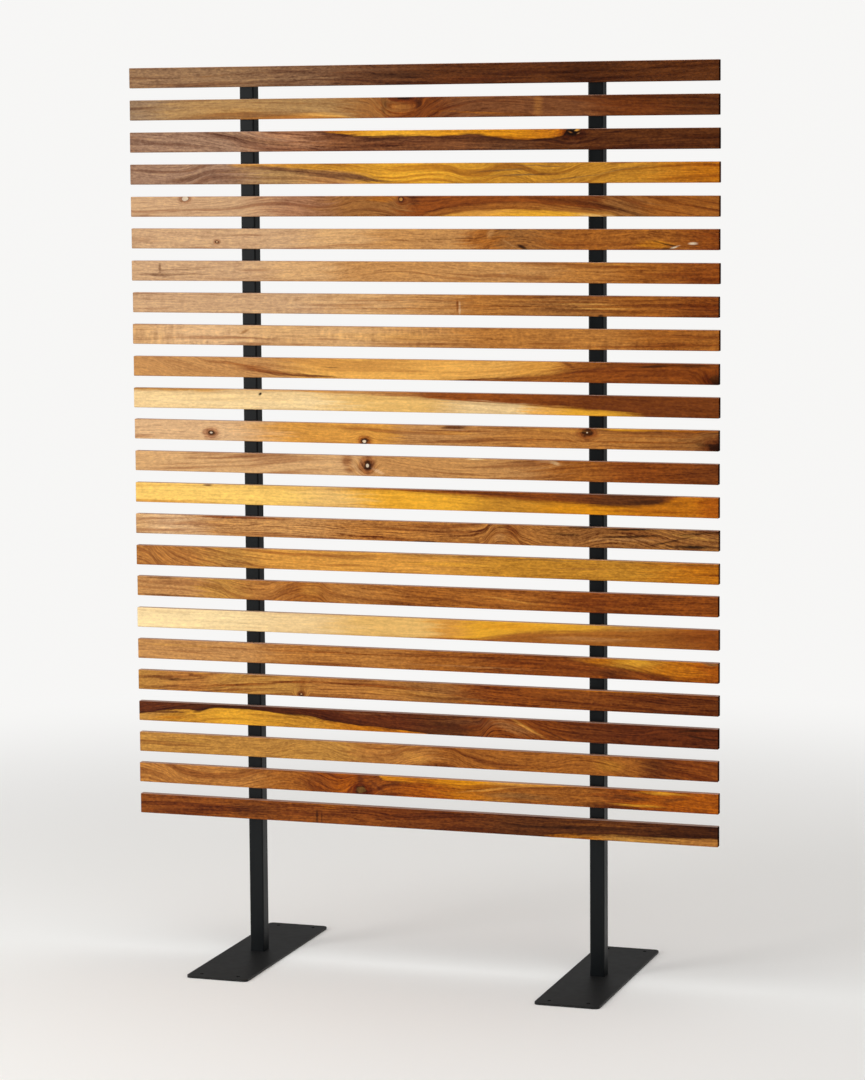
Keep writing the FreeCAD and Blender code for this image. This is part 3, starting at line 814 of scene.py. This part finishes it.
def makeKnotGroup():
    # colours a knot and bends the grain round it
    tree, start, end = newTree(
        "woodKnot", "ShaderNodeTree",
        {"Under": "Color", "Heart": "Color", "Distance": 9.0, "Heart Share": 0.3, "Roughen": 0.5,
         "Grain": 0.0, "Middle Height": 0.0},
        {"Colour": "Color", "Grain": "Float"})
    wander = times(tree, minus(tree, start["Roughen"], 0.5), 1.5)
    distance = plus(tree, start["Distance"], wander)
    halo = ease(tree, distance, 2.8, 0.9)
    warm = layer(tree, 1.0, start["Under"], (0.52, 0.27, 0.17, 1.0), "MULTIPLY")
    colour = layer(tree, times(tree, halo, 0.85), start["Under"], warm)
    rings = calc(tree, "SINE", times(tree, distance, 12.0))
    rings = times(tree, ease(tree, rings, -0.1, 0.9), ease(tree, distance, 2.4, 1.1))
    colour = layer(tree, times(tree, rings, 0.35), colour, linear(woodColours["umber"]))
    dark = ease(tree, distance, 1.2, 0.75, 0.0, 0.9)
    colour = layer(tree, dark, colour, linear(woodColours["umber"]))
    within = calc(tree, "DIVIDE", start["Distance"], start["Heart Share"])
    within = plus(tree, within, times(tree, wander, 0.3))
    colour = layer(tree, ease(tree, within, 1.15, 0.75), colour, start["Heart"])
    feed(tree, end["Colour"], colour)
    pull = ease(tree, start["Distance"], 4.5, 0.4, 0.0, 0.8)
    lift = times(tree, minus(tree, start["Middle Height"], start["Grain"]), pull)
    feed(tree, end["Grain"], plus(tree, start["Grain"], lift))
    return tree


# The oiled wood, on every board
woodFinish = {
    "shine": 0.10,
    "roughness": 0.34,
    "bump": 0.35,
    "bumpDepth": 0.0004,
    "edgeShadeTint": (0.50, 0.40, 0.36, 1.0),  # painted shade along the eased edges, which turn away from the light
    "lowEdgeShade": 0.5,                       # how much of it shows along the lower edge
    "highEdgeShade": 0.12,                     # and along the upper edge
    "topTint": (0.66, 0.40, 0.30, 1.0),  # the light that the tops catch
    "topShare": 0.55,
    "topShine": 0.6,
    "endShine": 0.02,                    # sawn ends drink the oil
    "endRoughness": 0.9,
    "sway": 14.0,                        # how far the grain wanders, in millimetres
    "ripple": 5.0,                       # and its shorter waves
    "feather": 16.0,                     # how raggedly a patch ends, in millimetres
    "blend": 0.16,                       # how raggedly the tones run into each other, as a share
}


def spread(tree, pattern, weight):
    # a pattern around 0.5 as a change up and down
    return times(tree, minus(tree, pattern, 0.5), weight)


def makeGrainGroup(settings):
    # the wood's own lines, pores, shine and bump over a board's colours; lengths in millimetres
    tree, start, end = newTree(
        "boardGrain", "ShaderNodeTree",
        {"Colour": "Color", "X": 0.0, "Y": 0.0, "Grain": 0.0, "Height": 0.0, "Seed": 0.0, "Lines": 0.4,
         "Line Spacing": 6.0, "Curl": 0.1, "Bands": 0.5, "Contrast": 1.0},
        {"Colour": "Color", "Roughness": "Float", "Shine": "Float", "Bump": "Float"})
    seed = start["Seed"]
    place = vectorOf(tree, start["X"], start["Y"], start["Grain"])
    broad = cloud(tree, scaled(tree, place, (0.005, 0.05, 0.06)), seed, 2.0)
    streak = cloud(tree, scaled(tree, place, (0.009, 0.16, 0.20)), seed, 4.0, 0.6)
    band = cloud(tree, scaled(tree, place, (0.0032, 0.03, 0.10)), plus(tree, seed, 30.0), 3.0, 0.55)
    thread = cloud(tree, scaled(tree, place, (0.010, 0.3, 0.30)), plus(tree, seed, 10.0), 2.5, 0.6)
    fleck = cloud(tree, scaled(tree, place, (0.05, 0.6, 0.36)), plus(tree, seed, 20.0), 2.0, 0.6)
    speckle = cloud(tree, scaled(tree, place, (0.15, 0.6, 0.32)), plus(tree, seed, 50.0), 1.5, 0.6)
    fibre = cloud(tree, scaled(tree, place, (0.13, 2.2, 2.6)), seed, 2.0, 0.6)
    pores = cloud(tree, scaled(tree, place, (0.14, 2.0, 2.4)), plus(tree, seed, 40.0), 1.0)
    pores = ease(tree, pores, 0.58, 0.70)

    # growth lines that follow the grain, at uneven spacing
    drift = cloud(tree, scaled(tree, place, (0.003, 0.03, 0.045)), plus(tree, seed, 7.0), 2.0)
    drift = times(tree, drift, 9.0)
    phase = plus(tree, calc(tree, "DIVIDE", start["Grain"], start["Line Spacing"]), drift)
    wave = calc(tree, "SINE", times(tree, phase, 2 * math.pi))
    lines = ease(tree, plus(tree, wave, spread(tree, fleck, 2.2)), 0.1, 1.0)
    lines = times(tree, lines, ease(tree, broad, 0.36, 0.58))
    lines = times(tree, lines, start["Lines"])

    # short bars across the grain, as on a curly board: its shifting sheen, painted into the colour as
    # lighter and darker bars
    across = vectorOf(
        tree, times(tree, start["X"], 0.12), times(tree, start["Y"], 0.1),
        times(tree, start["Height"], 0.035))
    bars = cloud(tree, across, seed, 2.0)
    barsWhere = cloud(tree, scaled(tree, place, (0.008, 0.05, 0.07)), plus(tree, seed, 90.0), 1.0)
    bars = times(tree, spread(tree, bars, start["Curl"]), ease(tree, barsWhere, 0.40, 0.60))

    # long streaks of darker, redder wood
    redder = layer(tree, 1.0, start["Colour"], (0.50, 0.33, 0.25, 1.0), "MULTIPLY")
    inBand = ease(tree, plus(tree, band, spread(tree, fleck, 0.16)), 0.52, 0.64)
    under = layer(tree, times(tree, inBand, start["Bands"]), start["Colour"], redder)

    light = spread(tree, broad, 0.4)
    for pattern, weight in ((streak, 0.8), (thread, 0.9), (fleck, 1.1), (speckle, 1.2), (fibre, 0.3)):
        light = plus(tree, light, spread(tree, pattern, weight))
    for pattern, first, last, weight in (
            (thread, 0.55, 0.63, -0.12), (fleck, 0.58, 0.68, -0.08), (speckle, 0.40, 0.30, 0.16),
            (lines, 0.0, 1.0, -0.40), (pores, 0.0, 1.0, -0.08)):
        light = plus(tree, light, ease(tree, pattern, first, last, 0.0, weight))
    paleness = addNode(tree, "ShaderNodeRGBToBW", {"Color": start["Colour"]}).outputs[0]
    light = times(tree, light, ease(tree, paleness, 0.06, 0.42, 0.85, 0.42))
    light = times(tree, light, start["Contrast"])
    light = plus(tree, light, bars)
    ramp = tree.nodes.new("ShaderNodeValToRGB")
    stops = ramp.color_ramp.elements
    stops[0].position, stops[0].color = 0.0, (0.15, 0.08, 0.05, 1.0)
    stops[1].position, stops[1].color = 1.0, (0.90, 0.93, 0.78, 1.0)
    middle = stops.new(0.5)
    middle.color = (0.52, 0.52, 0.52, 1.0)
    feed(tree, ramp.inputs[0], calc(tree, "ADD", light, 0.5, clamp=True))
    doubled = scaled(tree, ramp.outputs["Color"], (2.0, 2.0, 2.0))
    colour = layer(tree, 1.0, under, doubled, "MULTIPLY")

    # painted shade darkens the eased edges, painted light brightens the tops, and the sawn ends are darker
    # end grain deepened with painted shade
    normal = tree.nodes.new("ShaderNodeNewGeometry").outputs["Normal"]
    facing = addNode(tree, "ShaderNodeSeparateXYZ", {"Vector": normal}).outputs
    upward = ease(tree, facing["Z"], 0.3, 0.9)
    # painted shade along the eased edges: strong along the lower edge, slight along the upper one
    fromTop = minus(tree, slatHeight * 1000, start["Height"])
    paintedEdgeShade = calc(
        tree, "MAXIMUM", ease(tree, start["Height"], 2.4, 0.2, 0.0, settings["lowEdgeShade"]),
        ease(tree, fromTop, 1.4, 0.2, 0.0, settings["highEdgeShade"]))
    colour = layer(tree, paintedEdgeShade, colour, layer(tree, 1.0, colour, settings["edgeShadeTint"], "MULTIPLY"))
    colour = layer(tree, times(tree, upward, settings["topShare"]), colour, settings["topTint"])
    # the sawn ends: end grain is darker, and painted shade darkens them further, nearly to black
    sideways = calc(tree, "ABSOLUTE", facing["X"])
    across = vectorOf(tree, 0.0, times(tree, start["Y"], 0.55), times(tree, start["Grain"], 1.4))
    rings = cloud(tree, across, seed, 4.0, 0.7)
    endGrainAndShade = layer(tree, rings, (0.05, 0.04, 0.04, 1.0), (0.26, 0.20, 0.18, 1.0))
    sawn = layer(tree, 1.0, colour, endGrainAndShade, "MULTIPLY")
    atEnd = ease(tree, sideways, 0.5, 0.85)
    colour = layer(tree, atEnd, colour, sawn)
    feed(tree, end["Colour"], colour)

    rough = plus(tree, settings["roughness"], spread(tree, streak, 0.35))
    rough = plus(tree, rough, times(tree, pores, 0.15))
    dull = times(tree, atEnd, settings["endRoughness"])
    feed(tree, end["Roughness"], calc(tree, "MAXIMUM", rough, dull))
    shine = ease(tree, atEnd, 0.0, 1.0, settings["shine"], settings["endShine"])
    topShine = times(tree, upward, settings["topShine"])
    feed(tree, end["Shine"], calc(tree, "MAXIMUM", shine, topShine))
    bump = plus(tree, times(tree, fleck, 0.5), times(tree, fibre, 0.5))
    bump = minus(tree, bump, times(tree, pores, 0.8))
    feed(tree, end["Bump"], bump)
    return tree


woodGroups = {
    "patch": makePatchGroup(),
    "oval": makeOvalGroup(),
    "knot": makeKnotGroup(),
    "grain": makeGrainGroup(woodFinish),
}


def ovalDistance(tree, x, height, middleX, middleHeight, halfLength, halfHeight, slope=0.0):
    return useGroup(
        tree, woodGroups["oval"],
        {"X": x, "Height": height, "Middle X": middleX, "Middle Height": middleHeight,
         "Half Length": halfLength, "Half Height": halfHeight, "Slope": slope})["Distance"]


def woodMaterial(number, figure):
    material, tree, shader, place = newMaterial("acacia_%02d" % number)
    seed = number * 3.7
    low = topLow.z - (number - 1) * slatPitch
    axes = addNode(tree, "ShaderNodeSeparateXYZ", {"Vector": place}).outputs
    x = times(tree, axes["X"], 1000.0)
    y = times(tree, axes["Y"], 1000.0)
    height = times(tree, minus(tree, axes["Z"], low), 1000.0)
    spot = vectorOf(tree, x, y, height)
    sway = cloud(tree, scaled(tree, spot, (0.005, 0.02, 0.02)), seed + 1, 2.0)
    ripple = cloud(tree, scaled(tree, spot, (0.016, 0.05, 0.07)), seed + 2, 3.0)
    crumble = cloud(tree, scaled(tree, spot, (0.10, 0.2, 0.16)), seed + 3, 3.0)

    # how far along the board, from 0 to 1, how high up a wavering board, and which layer of the grain
    along = plus(tree, calc(tree, "DIVIDE", x, slatLength * 1000), 0.5)
    roughHeight = plus(tree, height, spread(tree, ripple, woodFinish["ripple"]))
    grain = plus(tree, roughHeight, spread(tree, sway, woodFinish["sway"]))
    if "run" in figure:
        grain = minus(tree, grain, drawnCurve(tree, along, figure["run"]))
    knots = [
        (heart, share, middleHeight,
         ovalDistance(tree, x, height, middleX, middleHeight, halfLength, halfHeight))
        for heart, middleX, middleHeight, halfLength, halfHeight, share in figure.get("knots", [])]
    for heart, share, middleHeight, distance in knots:
        grain = useGroup(
            tree, woodGroups["knot"],
            {"Distance": distance, "Grain": grain, "Middle Height": middleHeight})["Grain"]
    feather = cloud(
        tree, scaled(tree, vectorOf(tree, x, y, grain), (0.012, 0.12, 0.26)), seed + 4, 4.0, 0.6)
    swayed = plus(tree, along, spread(tree, feather, woodFinish["blend"]))
    colour = toneRamp(tree, swayed, figure["tones"])
    ragged = plus(tree, roughHeight, spread(tree, feather, woodFinish["feather"]))
    for patch in figure.get("patches", []):
        beyond = minus(tree, ragged, drawnCurve(tree, along, patch["edge"]))
        if patch["side"] == "below":
            beyond = times(tree, beyond, -1.0)
        colour = useGroup(
            tree, woodGroups["patch"],
            {"Under": colour, "Patch": toneRamp(tree, swayed, patch["tones"]), "Beyond Edge": beyond,
             "Softness": patch.get("soft", 2.0), "Rim": patch.get("rim", 0.4)})["Colour"]
    for heart, share, middleHeight, distance in knots:
        colour = useGroup(
            tree, woodGroups["knot"],
            {"Under": colour, "Heart": linear(woodColours[heart]), "Distance": distance,
             "Heart Share": share, "Roughen": crumble})["Colour"]
    for name, middleX, middleHeight, halfLength, halfHeight, slope, strength in figure.get("smudges", []):
        distance = ovalDistance(
            tree, x, roughHeight, middleX, middleHeight, halfLength, halfHeight, slope)
        distance = plus(tree, distance, spread(tree, feather, 2.5))
        colour = layer(
            tree, ease(tree, distance, 1.5, 0.3, 0.0, strength), colour, linear(woodColours[name]))
    board = useGroup(
        tree, woodGroups["grain"],
        {"Colour": colour, "X": x, "Y": y, "Grain": grain, "Height": height, "Seed": seed,
         "Lines": figure.get("lines", 0.5), "Line Spacing": figure.get("spacing", 6.0),
         "Curl": figure.get("curl", 0.12), "Bands": figure.get("bands", 0.7),
         "Contrast": figure.get("contrast", 1.0)})
    feed(tree, shader.inputs["Base Color"], board["Colour"])
    feed(tree, shader.inputs["Roughness"], board["Roughness"])
    feed(tree, shader.inputs["Specular IOR Level"], board["Shine"])
    bump = addNode(
        tree, "ShaderNodeBump",
        {"Height": board["Bump"], "Strength": woodFinish["bump"], "Distance": woodFinish["bumpDepth"]})
    feed(tree, shader.inputs["Normal"], bump.outputs[0])
    return material


slatSettings = {
    "edgeRadius": 0.0015,
    "edgeSteps": 3,       # faces round an edge
    "steps": 40,          # faces along a board
    "bow": 0.0012,        # how much a board may rise or sag
    "trim": 0.0015,       # how much shorter than its nominal length a board may be cut
    "seed": 11,
}


def makeSlatTree():
    tree, start, end = newTree(
        "slatRow", "GeometryNodeTree",
        {"Geometry": "Geometry", "Count": slatCount, "Length": slatLength, "Height": slatHeight,
         "Thickness": slatThickness, "Pitch": slatPitch, "Lowest": lastLow.z, "Front": lastLow.y,
         "Held At": postMiddle, "Steps": 40, "Bow": 0.001, "Trim": 0.001, "Seed": 0,
         "Finish": "Material"},
        {"Geometry": "Geometry"})
    middleY = plus(tree, start["Front"], times(tree, start["Thickness"], 0.5))
    middleZ = plus(tree, start["Lowest"], times(tree, start["Height"], 0.5))
    row = addNode(
        tree, "GeometryNodeMeshLine",
        {"Count": start["Count"], "Start Location": vectorOf(tree, 0.0, middleY, middleZ),
         "Offset": vectorOf(tree, 0.0, 0.0, start["Pitch"])},
        mode="OFFSET")
    board = addNode(
        tree, "GeometryNodeMeshCube",
        {"Size": vectorOf(tree, start["Length"], start["Thickness"], start["Height"]),
         "Vertices X": plus(tree, start["Steps"], 1)})
    placed = addNode(
        tree, "GeometryNodeInstanceOnPoints",
        {"Points": row.outputs[0], "Instance": board.outputs["Mesh"]})
    index = tree.nodes.new("GeometryNodeInputIndex").outputs[0]
    numbered = addNode(
        tree, "GeometryNodeStoreNamedAttribute",
        {"Geometry": placed.outputs[0], "Name": "fromBottom", "Value": index}, data_type="INT",
        domain="INSTANCE")
    boards = addNode(tree, "GeometryNodeRealizeInstances", {"Geometry": numbered.outputs[0]})
    named = addNode(tree, "GeometryNodeInputNamedAttribute", {"Name": "fromBottom"}, data_type="INT")
    which = named.outputs[0]

    def uneven(least, most, seed):
        chance = tree.nodes.new("FunctionNodeRandomValue")
        chance.data_type = "FLOAT"
        feed(tree, chance.inputs[2], least)
        feed(tree, chance.inputs[3], most)
        feed(tree, chance.inputs["ID"], which)
        feed(tree, chance.inputs["Seed"], seed)
        return chance.outputs[1]

    place = tree.nodes.new("GeometryNodeInputPosition").outputs[0]
    x = addNode(tree, "ShaderNodeSeparateXYZ", {"Vector": place}).outputs["X"]
    fromPost = minus(tree, times(tree, start["Held At"], start["Held At"]), times(tree, x, x))
    halfLength = times(tree, start["Length"], 0.5)
    share = calc(tree, "DIVIDE", fromPost, times(tree, halfLength, halfLength))
    lowestBow = times(tree, start["Bow"], -1.0)
    rise = times(tree, share, uneven(lowestBow, start["Bow"], start["Seed"]))
    trim = uneven(0.0, start["Trim"], plus(tree, start["Seed"], 1))
    slide = times(tree, calc(tree, "DIVIDE", x, halfLength), times(tree, trim, -1.0))
    bent = addNode(
        tree, "GeometryNodeSetPosition",
        {"Geometry": boards.outputs[0], "Offset": vectorOf(tree, slide, 0.0, rise)})
    finished = addNode(
        tree, "GeometryNodeSetMaterial", {"Geometry": bent.outputs[0], "Material": start["Finish"]})
    feed(tree, end["Geometry"], finished.outputs[0])
    return tree


def runTree(tree, name, values):
    # makes a plain mesh of what the tree builds
    holder = bpy.data.objects.new(name, bpy.data.meshes.new(name))
    scene.collection.objects.link(holder)
    modifier = holder.modifiers.new("shape", "NODES")
    modifier.node_group = tree
    for socket in tree.interface.items_tree:
        if socket.in_out == "INPUT" and socket.name in values:
            modifier[socket.identifier] = values[socket.name]
    bpy.context.view_layer.update()
    evaluated = holder.evaluated_get(bpy.context.evaluated_depsgraph_get())
    mesh = bpy.data.meshes.new_from_object(evaluated)
    bpy.data.objects.remove(holder)
    return mesh


def boardMesh(mesh, fromBottom, name):
    # one board out of the row
    rows = bmesh.new()
    rows.from_mesh(mesh)
    number = rows.verts.layers.int["fromBottom"]
    others = [vert for vert in rows.verts if vert[number] != fromBottom]
    bmesh.ops.delete(rows, geom=others, context="VERTS")
    board = bpy.data.meshes.new(name)
    rows.to_mesh(board)
    rows.free()
    board.shade_smooth()
    return board


def makeSlats(settings):
    row = runTree(
        makeSlatTree(), "slatRow",
        {"Steps": settings["steps"], "Bow": settings["bow"], "Trim": settings["trim"],
         "Seed": settings["seed"]})
    for number in range(1, slatCount + 1):
        name = "board_%02d" % number
        board = bpy.data.objects.new(name, boardMesh(row, slatCount - number, name))
        scene.collection.objects.link(board)
        board.data.materials.clear()
        board.data.materials.append(woodMaterial(number, boardFigures[number]))
        bevel = board.modifiers.new("easedEdges", "BEVEL")
        bevel.width = settings["edgeRadius"]
        bevel.segments = settings["edgeSteps"]
        bevel.harden_normals = True
        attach(board, "root")
        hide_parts("slat_%02d" % number)


makeSlats(slatSettings)
print("slats:", slatCount)


def fineFinish(name, dark, pale, roughness, peel=0.25, metal=0.0, shine=0.35, grain=1.0):
    # an even factory finish: cloudy colour, specks, and a fine orange-peel bump
    material, tree, shader, place = newMaterial(name)
    cloudy = cloud(tree, scaled(tree, place, (11.0, 11.0, 6.0)), 3.0, 3.0)
    rubbed = cloud(tree, scaled(tree, place, (60.0, 60.0, 14.0)), 4.0, 3.0)
    size = 1300.0 * grain
    grit = cloud(tree, scaled(tree, place, (size, size, size)), 5.0, 2.0)
    size = 460.0 * grain
    bumps = cloud(tree, scaled(tree, place, (size, size, size)), 8.0, 1.0)
    mixed = plus(tree, times(tree, cloudy, 0.5), times(tree, grit, 0.3))
    mixed = plus(tree, mixed, times(tree, rubbed, 0.2))
    colour = layer(tree, ease(tree, mixed, 0.36, 0.64), (*dark, 1.0), (*pale, 1.0))
    feed(tree, shader.inputs["Base Color"], colour)
    low, high = roughness
    worn = plus(tree, times(tree, cloudy, 0.5), times(tree, rubbed, 0.5))
    feed(tree, shader.inputs["Roughness"], ease(tree, worn, 0.35, 0.65, low, high))
    shader.inputs["Metallic"].default_value = metal
    shader.inputs["Specular IOR Level"].default_value = shine
    height = plus(tree, times(tree, bumps, 0.7), times(tree, grit, 0.3))
    bump = addNode(tree, "ShaderNodeBump", {"Height": height, "Strength": peel, "Distance": 0.0002})
    feed(tree, shader.inputs["Normal"], bump.outputs[0])
    return material


finishes = {
    # the posts' coat is the plates' black powder coat painted darker and cooler: painted shade and a
    # painted cool reflection
    "shaded_post_steel": fineFinish(
        "postCoatShaded", (0.0026, 0.0038, 0.0045), (0.0058, 0.0080, 0.0092), (0.36, 0.44), shine=0.19),
    "black_steel": fineFinish(
        "powderCoat", (0.0080, 0.0080, 0.0078), (0.0115, 0.0114, 0.0110), (0.46, 0.52), shine=0.28),
    "black_plastic": fineFinish(
        "blackPlastic", (0.010, 0.010, 0.010), (0.018, 0.018, 0.018), (0.50, 0.60), peel=0.4, grain=0.8),
    "bare_steel": fineFinish(
        "bareSteel", (0.30, 0.29, 0.28), (0.46, 0.45, 0.43), (0.30, 0.45), metal=1.0, peel=0.1),
    "black_fastener": fineFinish(
        "blackOxide", (0.018, 0.018, 0.019), (0.040, 0.039, 0.038), (0.30, 0.42), metal=0.7, peel=0.15),
}
for name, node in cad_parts.items():
    for part, finish in (
            ("post_cap_", "black_plastic"), ("post_", "shaded_post_steel"), ("base_plate_", "black_steel"),
            ("foot_insert_", "bare_steel"), ("base_bolts_", "black_fastener")):
        if name.startswith(part):
            for slot in node.material_slots:
                slot.material = finishes[finish]
            break


screwSettings = {
    "headWidth": 0.008,
    "headHeight": 0.0026,
    "roundness": 2.8,       # 2 is an oval, more is boxier
    "shankWidth": 0.004,
    "length": 0.040,        # from under the head to the tip
    "point": 0.004,
    "recessLength": 0.0044,
    "recessWidth": 0.001,
    "recessDepth": 0.0014,
    "seed": 5,
}


def makeScrewTree():
    tree, start, end = newTree(
        "screwColumn", "GeometryNodeTree",
        {"Geometry": "Geometry", "Count": slatCount, "Pitch": slatPitch, "Across": 0.0,
         "Behind": postHigh.y, "Lowest": 0.0, "Head Width": 0.008, "Head Height": 0.0026,
         "Roundness": 2.8, "Shank Width": 0.004, "Length": 0.04, "Point": 0.004, "Recess Length": 0.0044,
         "Recess Width": 0.001, "Recess Depth": 0.0014, "Seed": 0, "Finish": "Material"},
        {"Geometry": "Geometry"})

    # the head: a ball swollen towards a box, cut flat underneath
    ball = addNode(tree, "GeometryNodeMeshUVSphere", {"Segments": 32, "Rings": 20, "Radius": 1.0})
    place = tree.nodes.new("GeometryNodeInputPosition").outputs[0]
    axes = addNode(tree, "ShaderNodeSeparateXYZ", {"Vector": place}).outputs
    squares = plus(tree, times(tree, axes["X"], axes["X"]), times(tree, axes["Z"], axes["Z"]))
    away = calc(tree, "POWER", calc(tree, "SQRT", squares), start["Roundness"])
    outward = calc(tree, "POWER", calc(tree, "ABSOLUTE", axes["Y"]), start["Roundness"])
    swell = calc(tree, "POWER", plus(tree, away, outward), calc(tree, "DIVIDE", -1.0, start["Roundness"]))
    radius = times(tree, times(tree, start["Head Width"], 0.5), swell)
    rise = times(tree, start["Head Height"], swell)
    outer = calc(tree, "MAXIMUM", times(tree, axes["Y"], rise), 0.0)
    domed = vectorOf(tree, times(tree, axes["X"], radius), outer, times(tree, axes["Z"], radius))
    dome = addNode(tree, "GeometryNodeSetPosition", {"Geometry": ball.outputs["Mesh"], "Position": domed})
    arms = []
    for longWay in ("X", "Z"):
        width = start["Recess Length"] if longWay == "X" else start["Recess Width"]
        height = start["Recess Width"] if longWay == "X" else start["Recess Length"]
        arm = addNode(
            tree, "GeometryNodeMeshCube",
            {"Size": vectorOf(tree, width, times(tree, start["Recess Depth"], 2.0), height)})
        moved = addNode(
            tree, "GeometryNodeTransform",
            {"Geometry": arm.outputs["Mesh"],
             "Translation": vectorOf(tree, 0.0, start["Head Height"], 0.0)})
        arms.append(moved.outputs[0])
    cross = tree.nodes.new("GeometryNodeMeshBoolean")
    cross.operation = "UNION"
    for arm in arms:
        tree.links.new(arm, cross.inputs["Mesh 2"])
    head = addNode(
        tree, "GeometryNodeMeshBoolean", {"Mesh 1": dome.outputs[0], "Mesh 2": cross.outputs["Mesh"]},
        operation="DIFFERENCE")

    # shank and point
    sides = 16
    shankRadius = times(tree, start["Shank Width"], 0.5)
    shankLength = minus(tree, start["Length"], start["Point"])
    shank = addNode(
        tree, "GeometryNodeMeshCylinder",
        {"Vertices": sides, "Radius": shankRadius, "Depth": shankLength})
    point = addNode(
        tree, "GeometryNodeMeshCone",
        {"Vertices": sides, "Radius Top": 0.0, "Radius Bottom": shankRadius, "Depth": start["Point"]})
    shank = addNode(
        tree, "GeometryNodeTransform",
        {"Geometry": shank.outputs["Mesh"], "Rotation": (math.pi / 2, 0.0, 0.0),
         "Translation": vectorOf(tree, 0.0, times(tree, shankLength, -0.5), 0.0)})
    point = addNode(
        tree, "GeometryNodeTransform",
        {"Geometry": point.outputs["Mesh"], "Rotation": (math.pi / 2, 0.0, 0.0),
         "Translation": vectorOf(tree, 0.0, times(tree, shankLength, -1.0), 0.0)})
    screw = tree.nodes.new("GeometryNodeJoinGeometry")
    for part in (head.outputs["Mesh"], shank.outputs[0], point.outputs[0]):
        tree.links.new(part, screw.inputs[0])

    column = addNode(
        tree, "GeometryNodeMeshLine",
        {"Count": start["Count"],
         "Start Location": vectorOf(tree, start["Across"], start["Behind"], start["Lowest"]),
         "Offset": vectorOf(tree, 0.0, 0.0, start["Pitch"])},
        mode="OFFSET")
    turn = tree.nodes.new("FunctionNodeRandomValue")
    turn.data_type = "FLOAT"
    feed(tree, turn.inputs[2], 0.0)
    feed(tree, turn.inputs[3], math.pi / 2)
    feed(tree, turn.inputs["Seed"], start["Seed"])
    placed = addNode(
        tree, "GeometryNodeInstanceOnPoints",
        {"Points": column.outputs[0], "Instance": screw.outputs[0],
         "Rotation": vectorOf(tree, 0.0, turn.outputs[1], 0.0)})
    screws = addNode(tree, "GeometryNodeRealizeInstances", {"Geometry": placed.outputs[0]})
    finished = addNode(
        tree, "GeometryNodeSetMaterial", {"Geometry": screws.outputs[0], "Material": start["Finish"]})
    feed(tree, end["Geometry"], finished.outputs[0])
    return tree


def makeScrews(settings):
    tree = makeScrewTree()
    for side, across in (("left", -postMiddle), ("right", postMiddle)):
        mesh = runTree(
            tree, "screws_" + side,
            {"Across": across, "Behind": postHigh.y, "Lowest": (lastLow.z + lastHigh.z) / 2,
             "Head Width": settings["headWidth"], "Head Height": settings["headHeight"],
             "Roundness": settings["roundness"], "Shank Width": settings["shankWidth"],
             "Length": settings["length"], "Point": settings["point"],
             "Recess Length": settings["recessLength"], "Recess Width": settings["recessWidth"],
             "Recess Depth": settings["recessDepth"], "Seed": settings["seed"],
             "Finish": finishes["black_fastener"]})
        mesh.shade_smooth()
        mesh.set_sharp_from_angle(angle=math.radians(35))
        screws = bpy.data.objects.new("screws_" + side, mesh)
        scene.collection.objects.link(screws)
        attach(screws, "root")
        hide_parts("slat_screws_" + side)


makeScrews(screwSettings)
print("screws: two columns of", slatCount)
